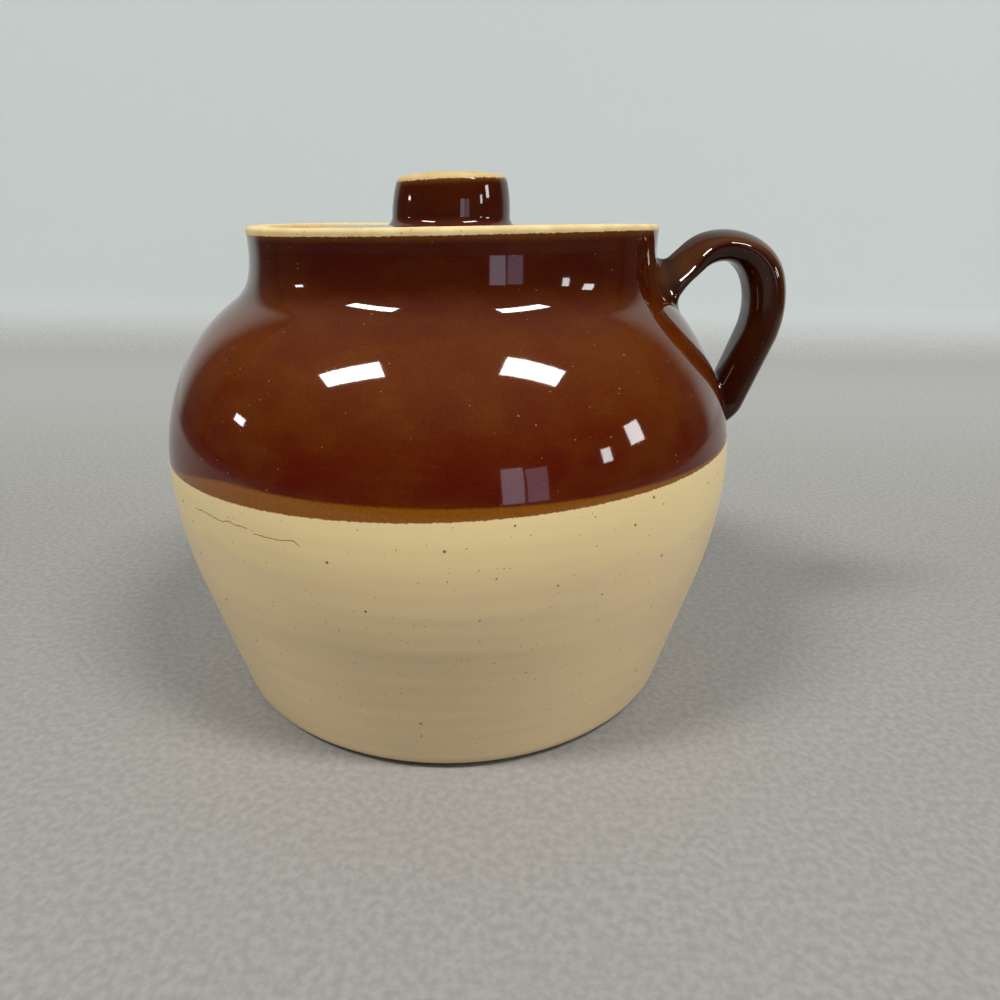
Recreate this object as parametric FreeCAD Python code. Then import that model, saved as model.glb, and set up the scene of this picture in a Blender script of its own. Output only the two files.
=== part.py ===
import FreeCAD, Part
import math
import os

# Stoneware bean pot in four pieces of clay: the pot, its loop handle, the drop-in lid and the lid's knob.
# Millimetres, +Z up. The origin is the centre of the foot ring, where the pot stands, and +X points to
# the handle. Outlines are drawn as (radius, height) and turned about the Z axis.

# Pot, outside
belly_radius = 92.0
belly_height = 78.0
shoulder_arc = 64.0
lower_belly_arc = 130.0
wall_lean_deg = 14.7
heel_radius = 6.0
neck_radius = 63.3
neck_fillet = 13.0
neck_height = 11.4
rim_flare = 0.3
rim_edge = 1.4

# Pot, inside
wall = 6.5
floor_thickness = 8.5
floor_corner = 14.0
rim_wall = 6.0
ledge_depth = 7.0
ledge_width = 5.5
ledge_thickness = 4.5
ledge_edge = 1.2

# Foot ring
foot_ring_width = 9.0
foot_recess = 1.6

# Lid, resting on the ledge
lid_clearance = 0.8
lid_edge_thickness = 4.6
lid_crown = 2.0
lid_thickness = 6.0
lid_edge = 1.2
ring_clearance = 1.4
ring_width = 5.5
ring_depth = 4.5
ring_edge = 1.0

# Knob
knob_top_radius = 17.1
knob_base_radius = 18.6
knob_height = 14.6
knob_edge = 3.8
knob_flare = 4.0
knob_lip = 0.6

# Handle: a strap that rises from the neck, turns over a tight bow into a wider one and runs down to the belly
bow_inset = 5.4
bow_drop = 8.6
bow_radius = 15.0
side_start_deg = 17.0
side_radius = 28.0
upper_limb_rise_deg = 43.5
lower_limb_lean_deg = 20.5
upper_root_bite = 3.6
lower_root_bite = 8.5
strap_edge = 3.4
strap_sections = 24

# Thickness and width of the strap, from the upper root to the lower, and how long each root takes to spread
upper_root_size = (18.0, 28.0)
upper_limb_size = (9.8, 20.0)
bow_top_size = (9.6, 20.0)
side_size = (12.4, 20.0)
lower_limb_size = (11.4, 18.5)
lower_root_size = (14.0, 24.0)
upper_root_spread = 19.0
lower_root_spread = 26.0

# Worked out from the sizes above
shoulder_across = neck_radius + neck_fillet - (belly_radius - shoulder_arc)
waist_height = belly_height + math.sqrt((shoulder_arc + neck_fillet) ** 2 - shoulder_across ** 2)
rim_height = waist_height + neck_height
rim_radius = neck_radius + rim_flare
gallery_radius = rim_radius - rim_wall
throat_radius = gallery_radius - ledge_width
ledge_height = rim_height - ledge_depth
lid_radius = gallery_radius - lid_clearance
lid_edge_height = ledge_height + lid_edge_thickness
lid_top_height = lid_edge_height + lid_crown
knob_foot_radius = knob_base_radius + knob_flare
bow_start_deg = 90 + upper_limb_rise_deg
side_end_deg = -lower_limb_lean_deg
quarter_handle = 4 * (math.sqrt(2) - 1) / 3
full_turn_deg = 360
same_place = 0.001


def at(radius, height):
    return FreeCAD.Vector(radius, 0, height)


def line(start, end):
    return Part.LineSegment(start, end).toShape()


def on_circle(centre, radius, angle_deg):
    angle = math.radians(angle_deg)
    return centre + at(radius * math.cos(angle), radius * math.sin(angle))


def arc(centre, radius, start_deg, end_deg):
    middle_deg = (start_deg + end_deg) / 2
    points = [on_circle(centre, radius, angle_deg) for angle_deg in (start_deg, middle_deg, end_deg)]
    return Part.Arc(*points).toShape()


def turned(edges):
    outline = Part.Wire(edges)
    solid = Part.Face(outline).revolve(FreeCAD.Vector(), FreeCAD.Vector(0, 0, 1), full_turn_deg)
    return Part.Solid(solid) if solid.ShapeType == "Shell" else solid


def turned_polygon(corners):
    return turned([line(start, end) for start, end in zip(corners, corners[1:] + corners[:1])])


def rounded(solid, corners, radius):
    """The solid with its circular edges at these (radius, height) corners rounded."""
    picked = []
    for edge in solid.Edges:
        if not isinstance(edge.Curve, Part.Circle):
            continue
        for corner in corners:
            here = at(edge.Curve.Radius, edge.Curve.Center.z)
            if here.isEqual(corner, same_place):
                picked.append(edge)
    return solid.makeFillet(radius, picked)


def side_edges(inset, bottom, corner):
    """The pot's side from its bottom corner to the waist of the neck, drawn this far inside the outer surface."""
    lean = math.radians(wall_lean_deg)
    up_the_wall = at(math.sin(lean), math.cos(lean))
    into_the_wall = at(-math.cos(lean), math.sin(lean))
    shoulder_centre = at(belly_radius - shoulder_arc, belly_height)
    lower_centre = at(belly_radius - lower_belly_arc, belly_height)
    neck_centre = at(neck_radius + neck_fillet, waist_height)
    wall_top = on_circle(lower_centre, lower_belly_arc - inset, -wall_lean_deg)
    drop = (bottom + corner - wall_top.z - corner * math.sin(lean)) / math.cos(lean)
    wall_bottom = wall_top + up_the_wall * drop
    corner_centre = wall_bottom + into_the_wall * corner
    to_neck = neck_centre - shoulder_centre
    shoulder_end_deg = math.degrees(math.atan2(to_neck.z, to_neck.x))
    return [
        arc(corner_centre, corner, -90, -wall_lean_deg),
        line(wall_bottom, wall_top),
        arc(lower_centre, lower_belly_arc - inset, -wall_lean_deg, 0),
        arc(shoulder_centre, shoulder_arc - inset, 0, shoulder_end_deg),
        arc(neck_centre, neck_fillet + inset, shoulder_end_deg + 180, 180),
    ]


def start_of(edge):
    return edge.valueAt(edge.FirstParameter)


def end_of(edge):
    return edge.valueAt(edge.LastParameter)


def neck_flare_edge():
    waist = at(neck_radius, waist_height)
    flare_radius = (neck_height ** 2 + rim_flare ** 2) / (2 * rim_flare)
    turn_deg = math.degrees(math.asin(neck_height / flare_radius))
    return arc(waist + at(flare_radius, 0), flare_radius, 180, 180 - turn_deg)


def outer_form():
    """The pot's outside as one filled solid, which also cuts the handle's roots to their seat."""
    side = side_edges(0, 0, heel_radius)
    flare = neck_flare_edge()
    top = [line(end_of(flare), at(0, rim_height)), line(at(0, rim_height), at(0, 0))]
    return turned(side + [flare] + top + [line(at(0, 0), start_of(side[0]))])


def inner_form():
    side = side_edges(wall, floor_thickness, floor_corner)
    waist = end_of(side[-1])
    way_up = [
        waist,
        at(waist.x, ledge_height),
        at(gallery_radius, ledge_height),
        at(gallery_radius, rim_height + rim_wall),
        at(0, rim_height + rim_wall),
        at(0, floor_thickness),
        start_of(side[0]),
    ]
    return turned(side + [line(start, end) for start, end in zip(way_up, way_up[1:])])


def ledge_form():
    """A ring inside the neck, flat on top for the lid and sloped underneath, that bites half way into the wall."""
    root_radius = neck_radius - wall / 2
    slope = root_radius - throat_radius
    return turned_polygon([
        at(throat_radius, ledge_height),
        at(root_radius, ledge_height),
        at(root_radius, ledge_height - ledge_thickness - slope),
        at(throat_radius, ledge_height - ledge_thickness),
    ])


def foot_recess_form():
    foot_edge = start_of(side_edges(0, 0, heel_radius)[0])
    recess_radius = foot_edge.x - foot_ring_width
    return turned_polygon([
        at(0, 0),
        at(recess_radius, 0),
        at(recess_radius - foot_recess, foot_recess),
        at(0, foot_recess),
    ])


def pot_body(outside):
    hollow = outside.cut(inner_form())
    body = hollow.fuse(ledge_form()).cut(foot_recess_form()).removeSplitter()
    body = rounded(body, [at(rim_radius, rim_height), at(gallery_radius, rim_height)], rim_edge)
    throat_top = at(throat_radius, ledge_height)
    throat_bottom = at(throat_radius, ledge_height - ledge_thickness)
    return rounded(body, [throat_top, throat_bottom], ledge_edge)


def lid():
    """A crowned disc on the ledge, flat where the knob sits, with a ring underneath that centres it in the throat."""
    ring_outer = throat_radius - ring_clearance
    ring_inner = ring_outer - ring_width
    ring_bottom = ledge_height - ring_depth
    ceiling = lid_top_height - lid_thickness
    reach = lid_radius - knob_foot_radius
    crown_radius = (reach ** 2 + lid_crown ** 2) / (2 * lid_crown)
    crown_deg = math.degrees(math.asin(reach / crown_radius))
    crown_centre = at(knob_foot_radius, lid_top_height - crown_radius)
    corners = [
        at(knob_foot_radius, lid_top_height),
        at(0, lid_top_height),
        at(0, ceiling),
        at(ring_inner, ceiling),
        at(ring_inner, ring_bottom),
        at(ring_outer, ring_bottom),
        at(ring_outer, ledge_height),
        at(lid_radius, ledge_height),
        at(lid_radius, lid_edge_height),
    ]
    edges = [line(start, end) for start, end in zip(corners, corners[1:])]
    disc = turned(edges + [arc(crown_centre, crown_radius, 90 - crown_deg, 90)])
    disc = rounded(disc, [at(lid_radius, lid_edge_height)], lid_edge)
    return rounded(disc, [at(ring_outer, ring_bottom), at(ring_inner, ring_bottom)], ring_edge)


def lid_knob():
    """A tapered knob with a rounded top edge, spreading over a hollow flare to a thin round foot on the lid."""
    top = at(knob_top_radius, lid_top_height + knob_height)
    flare_centre = at(knob_foot_radius, lid_top_height + knob_lip + knob_flare)
    to_top = top - flare_centre
    side_deg = math.degrees(math.atan2(to_top.z, to_top.x) + math.acos(knob_flare / to_top.Length))
    flare = arc(flare_centre, knob_flare, 270, side_deg)
    corners = [end_of(flare), top, at(0, top.z), at(0, lid_top_height), at(knob_foot_radius, lid_top_height)]
    corners.append(start_of(flare))
    blank = turned([flare] + [line(start, end) for start, end in zip(corners, corners[1:])])
    return rounded(blank, [top], knob_edge)


def strap_route():
    """The strap's centre line as runs: each has its length and a function from a distance to a place.

    A place is a point of the centre line with its outward direction.
    """
    bow_centre = at(belly_radius - bow_inset, waist_height - bow_drop)
    side_centre = on_circle(bow_centre, bow_radius - side_radius, side_start_deg)

    def bend(centre, radius, start_deg, end_deg):
        def place(distance):
            angle_deg = start_deg - math.degrees(distance / radius)
            return on_circle(centre, radius, angle_deg), on_circle(at(0, 0), 1, angle_deg)
        return radius * math.radians(start_deg - end_deg), place

    def limb(start, outward, length):
        along = at(outward.z, -outward.x)
        return length, lambda distance: (start + along * distance, outward)

    upper_outward = on_circle(at(0, 0), 1, bow_start_deg)
    bow_start = bow_centre + upper_outward * bow_radius
    upper_length = (bow_start.x - (neck_radius - upper_root_bite)) / upper_outward.z
    upper_start = bow_start - at(upper_outward.z, -upper_outward.x) * upper_length
    lower_outward = on_circle(at(0, 0), 1, side_end_deg)
    side_end = side_centre + lower_outward * side_radius
    lower_length = (side_end.x - (belly_radius - lower_root_bite)) / -lower_outward.z
    return [
        limb(upper_start, upper_outward, upper_length),
        bend(bow_centre, bow_radius, bow_start_deg, side_start_deg),
        bend(side_centre, side_radius, side_start_deg, side_end_deg),
        limb(side_end, lower_outward, lower_length),
    ]


def strap_section(place, size):
    """The strap's outline: a flat inner face, rounded edges and an outer face crowned like half an oval."""
    point, outward = place
    thickness, width = size
    sideways = FreeCAD.Vector(0, 1, 0)
    half = width / 2
    inner = -thickness / 2
    shoulder = inner + strap_edge
    crown = thickness / 2

    def spot(across, out):
        return point + sideways * across + outward * out

    def quarter(*poles):
        curve = Part.BezierCurve()
        curve.setPoles([spot(*pole) for pole in poles])
        return curve.toShape()

    edge_pull = strap_edge * (1 - quarter_handle)
    crown_rise = (crown - shoulder) * quarter_handle
    crown_reach = half * quarter_handle
    flat = half - strap_edge
    return Part.Wire([
        line(spot(-flat, inner), spot(flat, inner)),
        quarter((flat, inner), (half - edge_pull, inner), (half, inner + edge_pull), (half, shoulder)),
        quarter((half, shoulder), (half, shoulder + crown_rise), (crown_reach, crown), (0, crown)),
        quarter((0, crown), (-crown_reach, crown), (-half, shoulder + crown_rise), (-half, shoulder)),
        quarter((-half, shoulder), (-half, inner + edge_pull), (edge_pull - half, inner), (-flat, inner)),
    ])


def strap_place(route, distance):
    for length, place in route[:-1]:
        if distance <= length:
            return place(distance)
        distance -= length
    return route[-1][1](distance)


def strap_size(route, distance):
    """Thickness and width at this distance, eased between the sizes named at the top."""
    upper, bow, side, lower = [length for length, place in route]
    bow_top = upper + bow_radius * math.radians(bow_start_deg - 90)
    whole = upper + bow + side + lower
    named = [
        (0, upper_root_size),
        (upper_root_spread, upper_limb_size),
        (bow_top, bow_top_size),
        (upper + bow, side_size),
        (whole - lower_root_spread, lower_limb_size),
        (whole, lower_root_size),
    ]
    for (start, size), (end, next_size) in zip(named, named[1:]):
        if distance <= end:
            share = (1 - math.cos(math.pi * (distance - start) / (end - start))) / 2
            return tuple(one + (other - one) * share for one, other in zip(size, next_size))
    return lower_root_size


def handle(outside):
    """The strap as one loft through evenly spaced sections, with both roots cut to the pot's outer surface."""
    route = strap_route()
    whole = sum(length for length, place in route)
    sections = []
    for number in range(strap_sections):
        distance = whole * number / (strap_sections - 1)
        sections.append(strap_section(strap_place(route, distance), strap_size(route, distance)))
    return Part.makeLoft(sections, True, False).cut(outside)


def main():
    os.makedirs("parts", exist_ok=True)
    outside = outer_form()
    pieces = {
        "pot_body": pot_body(outside),
        "handle": handle(outside),
        "lid": lid(),
        "lid_knob": lid_knob(),
    }
    for name, shape in pieces.items():
        shape.exportStep("parts/" + name + ".step")
        box = shape.optimalBoundingBox()
        print(name, "solids", len(shape.Solids), "valid", shape.isValid(), "volume", round(shape.Volume))
        print("  from", round(box.XMin, 2), round(box.YMin, 2), round(box.ZMin, 2))
        print("  to", round(box.XMax, 2), round(box.YMax, 2), round(box.ZMax, 2))


main()
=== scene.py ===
from math import acos, atan2, ceil, copysign, cos, degrees, exp, hypot, pi, radians, sin, sqrt

import bmesh
import bpy
from mathutils import Matrix, Vector, noise
from mathutils.bvhtree import BVHTree


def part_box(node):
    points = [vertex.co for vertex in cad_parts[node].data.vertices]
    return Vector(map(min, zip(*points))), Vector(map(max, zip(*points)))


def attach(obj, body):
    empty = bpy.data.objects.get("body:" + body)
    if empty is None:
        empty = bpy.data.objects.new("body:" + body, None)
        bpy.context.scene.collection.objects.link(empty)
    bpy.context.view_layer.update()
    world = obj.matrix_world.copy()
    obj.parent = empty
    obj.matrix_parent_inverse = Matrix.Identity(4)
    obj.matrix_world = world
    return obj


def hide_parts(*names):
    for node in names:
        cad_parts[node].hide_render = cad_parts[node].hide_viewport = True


# A stoneware bean pot: pot, loop handle, loose lid and the lid's knob.
# Sizes in the dictionaries are millimetres and degrees.

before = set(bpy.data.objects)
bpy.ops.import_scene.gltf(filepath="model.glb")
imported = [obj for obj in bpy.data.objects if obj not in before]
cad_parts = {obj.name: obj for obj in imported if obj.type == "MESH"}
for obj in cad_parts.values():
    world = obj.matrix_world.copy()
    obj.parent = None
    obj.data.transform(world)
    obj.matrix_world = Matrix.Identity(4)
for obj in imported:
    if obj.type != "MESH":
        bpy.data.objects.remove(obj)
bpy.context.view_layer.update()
mm = 0.001
print("frame loaded:", ", ".join(sorted(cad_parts)))


# Outlines: a line of vertices in the plane Y = 0, drawn with lines and arcs and then turned on the wheel

# how far apart the vertices of an outline lie
spacing = {
    "edge": 0.4,
    "throat": 0.5,
    "knobSide": 0.7,
    "neck": 0.8,
    "heel": 1.0,
    "gallery": 1.2,
    "wall": 1.5,
    "gentle": 2.0,
    "inside": 3.0,
    "flat": 4.0,
    "disc": 5.0,
    "floor": 6.0,
}


def startOutline(x, z):
    bm = bmesh.new()
    tip = bm.verts.new(Vector((x, 0, z)) * mm)
    return bm, tip


def lineTo(bm, tip, x, z, apart=spacing["inside"]):
    way = Vector((x, 0, z)) * mm - tip.co
    steps = max(1, ceil(way.length / (apart * mm)))
    for step in range(steps):
        tip = bmesh.ops.extrude_vert_indiv(bm, verts=[tip])["verts"][0]
        bmesh.ops.translate(bm, verts=[tip], vec=way / steps)
    return tip


def arcTo(bm, tip, x, z, turn, apart=spacing["gentle"]):
    # goes round the centre (x, z); a positive turn is anticlockwise seen from the front
    centre = Vector((x, 0, z)) * mm
    length = (tip.co - centre).length * abs(radians(turn))
    steps = max(2, ceil(length / (apart * mm)))
    made = bmesh.ops.spin(bm, geom=[tip], cent=centre, axis=(0, -1, 0), angle=radians(turn), steps=steps)
    return [part for part in made["geom_last"] if isinstance(part, bmesh.types.BMVert)][0]


def onCircle(x, z, radius, angle):
    return x + radius * cos(radians(angle)), z + radius * sin(radians(angle))


def turnOnWheel(bm, steps):
    outline = bm.verts[:] + bm.edges[:]
    bmesh.ops.spin(bm, geom=outline, cent=(0, 0, 0), axis=(0, 0, 1), angle=2 * pi, steps=steps,
                   use_merge=True)
    bmesh.ops.remove_doubles(bm, verts=bm.verts[:], dist=0.01 * mm)
    bmesh.ops.recalc_face_normals(bm, faces=bm.faces[:])


def finishPiece(name, bm, node, body, material):
    mesh = bpy.data.meshes.new(name)
    bm.to_mesh(mesh)
    bm.free()
    mesh.polygons.foreach_set("use_smooth", [True] * len(mesh.polygons))
    mesh.materials.append(material)
    piece = bpy.data.objects.new(name, mesh)
    bpy.context.scene.collection.objects.link(piece)
    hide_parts(node)
    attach(piece, body)
    print("made", name, "with", len(mesh.polygons), "faces")
    return piece


def eased(share):
    share = min(max(share, 0), 1)
    return share * share * (3 - 2 * share)


# The pot

potShape = {
    "bellyRadius": 92.0,
    "bellyHeight": 78.0,
    "shoulderArc": 64.0,
    "lowerArc": 130.0,
    "wallLean": 14.7,
    "heelRound": 6.0,
    "neckRadius": 63.7,
    "neckFillet": 13.0,
    "neckEase": 42.0,
    "neckEaseTurn": 10.0,
    "rimRadius": 63.45,
    "rimRound": 1.3,
    "wall": 6.5,
    "floorThickness": 8.5,
    "floorRound": 14.0,
    "rimWall": 6.0,
    "ledgeDepth": 7.0,
    "ledgeWidth": 5.5,
    "ledgeRound": 1.2,
    "underLedge": 15.0,
    "throatTurn": 45.0,
    "innerRound": 0.8,
    "footRing": 9.0,
    "footRecess": 1.6,
    "footRound": 1.0,
    "wheelSteps": 240,
}

shoulderX = potShape["bellyRadius"] - potShape["shoulderArc"]
lowerX = potShape["bellyRadius"] - potShape["lowerArc"]
neckX = potShape["neckRadius"] + potShape["neckFillet"]
joinReach = potShape["shoulderArc"] + potShape["neckFillet"]
waistHeight = potShape["bellyHeight"] + sqrt(joinReach ** 2 - (neckX - shoulderX) ** 2)
joinAngle = degrees(atan2(waistHeight - potShape["bellyHeight"], neckX - shoulderX))
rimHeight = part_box("pot_body")[1][2] / mm
ledgeHeight = rimHeight - potShape["ledgeDepth"]
galleryRadius = potShape["rimRadius"] - potShape["rimWall"]
throatRadius = galleryRadius - potShape["ledgeWidth"]


def wallFoot(inset, bottom, corner):
    # where the straight wall meets its bottom corner, with the corner's centre and the wall's top
    lean = potShape["wallLean"]
    topX, topZ = onCircle(lowerX, potShape["bellyHeight"], potShape["lowerArc"] - inset, -lean)
    drop = (bottom + corner - topZ - corner * sin(radians(lean))) / cos(radians(lean))
    footX, footZ = topX + drop * sin(radians(lean)), topZ + drop * cos(radians(lean))
    centre = footX - corner * cos(radians(lean)), footZ + corner * sin(radians(lean))
    return (footX, footZ), centre, (topX, topZ)


def potOutline():
    p = potShape
    lean, belly = p["wallLean"], p["bellyHeight"]
    heelCentre, wallTop = wallFoot(0, 0, p["heelRound"])[1:]
    recess = heelCentre[0] - p["footRing"]

    # under the foot and up the outside
    bm, tip = startOutline(0, p["footRecess"])
    tip = lineTo(bm, tip, recess - p["footRound"], p["footRecess"], spacing["floor"])
    tip = lineTo(bm, tip, recess, p["footRound"])
    tip = lineTo(bm, tip, recess + p["footRound"] / 2, p["footRound"] / 4)
    tip = lineTo(bm, tip, recess + p["footRound"] * 2, 0)
    tip = lineTo(bm, tip, heelCentre[0], 0)
    footEnd = len(bm.verts)
    tip = arcTo(bm, tip, *heelCentre, 90 - lean, spacing["heel"])
    tip = lineTo(bm, tip, *wallTop, spacing["wall"])
    tip = arcTo(bm, tip, lowerX, belly, lean, spacing["wall"])
    tip = arcTo(bm, tip, shoulderX, belly, joinAngle, spacing["wall"])
    turn = p["neckEaseTurn"]
    tip = arcTo(bm, tip, neckX, waistHeight, turn - joinAngle, spacing["neck"])
    easeCentre = onCircle(neckX, waistHeight, p["neckEase"] - p["neckFillet"], turn)
    tip = arcTo(bm, tip, *easeCentre, -turn, spacing["neck"])
    tip = lineTo(bm, tip, p["rimRadius"], rimHeight - p["rimRound"], spacing["neck"])

    # over the rim and down to the ledge
    rimStart = len(bm.verts)
    edge, rimRound, innerRound, ledgeRound = spacing["edge"], p["rimRound"], p["innerRound"], p["ledgeRound"]
    tip = arcTo(bm, tip, p["rimRadius"] - rimRound, rimHeight - rimRound, 90, edge)
    tip = lineTo(bm, tip, galleryRadius + rimRound, rimHeight, spacing["heel"])
    tip = arcTo(bm, tip, galleryRadius + rimRound, rimHeight - rimRound, 90, edge)
    tip = lineTo(bm, tip, galleryRadius, ledgeHeight + innerRound, spacing["gallery"])
    tip = arcTo(bm, tip, galleryRadius - innerRound, ledgeHeight + innerRound, -90, edge)
    tip = lineTo(bm, tip, throatRadius + ledgeRound, ledgeHeight, spacing["gallery"])
    tip = arcTo(bm, tip, throatRadius + ledgeRound, ledgeHeight - ledgeRound, 90, spacing["throat"])

    # under the ledge, down the inside and across the floor
    innerNeck = p["neckFillet"] + p["wall"]
    seat = onCircle(neckX, waistHeight, innerNeck, 180 + p["underLedge"])
    corner = throatRadius + ledgeRound
    slopeStart = onCircle(corner, 0, ledgeRound, 180 + p["throatTurn"])
    cornerHeight = seat[1] + (seat[0] - slopeStart[0]) - slopeStart[1]
    throatStart = len(bm.verts)
    tip = lineTo(bm, tip, throatRadius, cornerHeight)
    tip = arcTo(bm, tip, corner, cornerHeight, p["throatTurn"], spacing["throat"])
    tip = lineTo(bm, tip, *seat)
    tip = arcTo(bm, tip, neckX, waistHeight, joinAngle - p["underLedge"])
    tip = arcTo(bm, tip, shoulderX, belly, -joinAngle, spacing["inside"])
    tip = arcTo(bm, tip, lowerX, belly, -lean, spacing["inside"])
    inside, insideCentre = wallFoot(p["wall"], p["floorThickness"], p["floorRound"])[:2]
    tip = lineTo(bm, tip, *inside, spacing["flat"])
    tip = arcTo(bm, tip, *insideCentre, lean - 90)
    tip = lineTo(bm, tip, 0, p["floorThickness"], spacing["floor"])

    # marks for the glaze: where the clay is left dry, and what lies inside
    dry = bm.verts.layers.float.new("dryClay")
    inner = bm.verts.layers.float.new("inner")
    for number, vert in enumerate(bm.verts):
        vert[dry] = number < footEnd or rimStart <= number < throatStart
        vert[inner] = number >= throatStart
    return bm


# How the potter's hands show: slow unevenness, and throwing rings that the thick brown glaze levels out

thrown = {
    "waver": 0.09,
    "waverSize": 50.0,
    "ring": 0.022,
    "ringSpacing": 6.5,
    "band": 0.07,
    "bandSize": 9.0,
    "glazedFrom": 78.0,
    "glazedOver": 10.0,
    "underGlaze": 0.12,
    "startHeight": 2.0,
    "bandReach": 90.0,
    "ringWander": 20.0,
    "footFade": 12.0,
    "rimFade": 10.0,
}


def throwMarks(vert):
    place = vert.co / mm
    radius = hypot(place.x, place.y)
    if radius < galleryRadius + 1 or place.z < thrown["startHeight"]:
        return
    slow = noise.noise(place / thrown["waverSize"]) * thrown["waver"]
    reach = thrown["bandReach"]
    bandPlace = Vector((place.x / reach, place.y / reach, place.z / thrown["bandSize"]))
    band = noise.noise(bandPlace) * thrown["band"]
    ring = sin(2 * pi * place.z / thrown["ringSpacing"] + slow * thrown["ringWander"]) * thrown["ring"]
    covered = eased((place.z - thrown["glazedFrom"]) / thrown["glazedOver"])
    bare = 1 - covered * (1 - thrown["underGlaze"])
    fade = eased(place.z / thrown["footFade"]) * bare * eased((rimHeight - place.z) / thrown["rimFade"])
    grow = 1 + (slow + (ring + band) * fade) / radius
    vert.co.x *= grow
    vert.co.y *= grow


# What the kiln did: the neck leans a little and the rim waves

kiln = {
    "startHeight": 100.0,
    "shift": 1.0,
    "lidShift": 0.35,
    "lean": 0.0135,
    "rimDrop": 0.4,
    "rimWave": 0.45,
    "fadeFrom": 66.0,
    "fadeOver": 20.0,
}


def leanWithKiln(vert):
    place = vert.co / mm
    share = eased((place.z - kiln["startHeight"]) / (ledgeHeight - kiln["startHeight"]))
    share *= 1 - eased((hypot(place.x, place.y) - kiln["fadeFrom"]) / kiln["fadeOver"])
    vert.co.z += kiln["lean"] * place.x * share * mm
    vert.co.x += kiln["shift"] * share * mm


def leanLid(vert):
    vert.co.z += kiln["lean"] * vert.co.x
    vert.co.x += kiln["lidShift"] * mm


def waveRim(vert):
    place = vert.co / mm
    share = eased((place.z - ledgeHeight) / potShape["ledgeDepth"])
    turn = atan2(place.y, place.x)
    vert.co.z -= (kiln["rimDrop"] + kiln["rimWave"] * sin(2 * turn)) * share * mm


# The lid and its knob

lidShape = {
    "clearance": 0.8,
    "edgeRound": 1.5,
    "crownTurn": 6.7,
    "topAboveLedge": 6.6,
    "thickness": 6.0,
    "ringClearance": 1.4,
    "ringWidth": 5.5,
    "ringDepth": 4.5,
    "ringRound": 1.0,
    "innerRound": 0.8,
    "wheelSteps": 160,
}

lidRadius = galleryRadius - lidShape["clearance"]
lidTop = ledgeHeight + lidShape["topAboveLedge"]
knobShape = {
    "footSink": 0.4,
    "footEdge": 1.0,
    "flare": 3.2,
    "flareHeight": 2.6,
    "sideRadius": 18.5,
    "sideCurve": 40.0,
    "sideTurn": 13.6,
    "shoulder": 3.0,
    "domeTurn": 9.0,
    "offset": -0.7,
    "leanRight": 0.5,
    "topSlope": 0.015,
    "height": 14.6,
    "wheelSteps": 128,
}
footRadius = knobShape["sideRadius"] + knobShape["flare"]


def lidOutline():
    p = lidShape
    ringOuter = throatRadius - p["ringClearance"]
    ringInner = ringOuter - p["ringWidth"]
    ringBottom = ledgeHeight - p["ringDepth"]
    ceiling = lidTop - p["thickness"]
    inner, ringRound, edge = p["innerRound"], p["ringRound"], p["edgeRound"]
    crownArc = edge + (lidRadius - edge - footRadius) / sin(radians(p["crownTurn"]))
    edgeHeight = lidTop - crownArc + (crownArc - edge) * cos(radians(p["crownTurn"]))
    fine = spacing["edge"]
    bm, tip = startOutline(0, ceiling)
    tip = lineTo(bm, tip, ringInner - inner, ceiling, spacing["disc"])
    tip = arcTo(bm, tip, ringInner - inner, ceiling - inner, -90, fine)
    tip = lineTo(bm, tip, ringInner, ringBottom + ringRound)
    tip = arcTo(bm, tip, ringInner + ringRound, ringBottom + ringRound, 90, fine)
    tip = lineTo(bm, tip, ringOuter - ringRound, ringBottom)
    tip = arcTo(bm, tip, ringOuter - ringRound, ringBottom + ringRound, 90, fine)
    tip = lineTo(bm, tip, ringOuter, ledgeHeight - inner)
    tip = arcTo(bm, tip, ringOuter + inner, ledgeHeight - inner, -90, fine)
    tip = lineTo(bm, tip, lidRadius - inner, ledgeHeight)
    tip = arcTo(bm, tip, lidRadius - inner, ledgeHeight + inner, 90, fine)
    tip = lineTo(bm, tip, lidRadius, edgeHeight)
    tip = arcTo(bm, tip, lidRadius - edge, edgeHeight, 90 - p["crownTurn"], fine)
    tip = arcTo(bm, tip, footRadius, lidTop - crownArc, p["crownTurn"])
    tip = lineTo(bm, tip, 0, lidTop, spacing["flat"])
    return bm


def knobOutline():
    p = knobShape
    shoulder = p["shoulder"]
    sideX, sideZ = p["sideRadius"] - p["sideCurve"], lidTop + p["flareHeight"]
    shoulderX, shoulderZ = onCircle(sideX, sideZ, p["sideCurve"] - shoulder, p["sideTurn"])
    domeAngle = 90 - p["domeTurn"]
    domeStart = onCircle(shoulderX, shoulderZ, shoulder, domeAngle)
    domeZ = domeStart[1] - domeStart[0] / sin(radians(p["domeTurn"])) * cos(radians(p["domeTurn"]))
    bm, tip = startOutline(0, lidTop - p["footSink"])
    tip = lineTo(bm, tip, footRadius + p["footEdge"], lidTop - p["footSink"], spacing["disc"])
    tip = lineTo(bm, tip, footRadius, sideZ - p["flare"])
    tip = arcTo(bm, tip, footRadius, sideZ, -90, spacing["edge"])
    tip = arcTo(bm, tip, sideX, sideZ, p["sideTurn"], spacing["knobSide"])
    tip = arcTo(bm, tip, shoulderX, shoulderZ, domeAngle - p["sideTurn"], spacing["edge"])
    tip = arcTo(bm, tip, 0, domeZ, p["domeTurn"])
    return bm


def leanKnob(vert):
    share = max(vert.co.z / mm - lidTop, 0) / knobShape["height"]
    vert.co.z += knobShape["topSlope"] * vert.co.x * share
    vert.co.x += (knobShape["offset"] + knobShape["leanRight"] * share) * mm


# The handle: a pulled strap, with both roots worked into the pot

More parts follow.
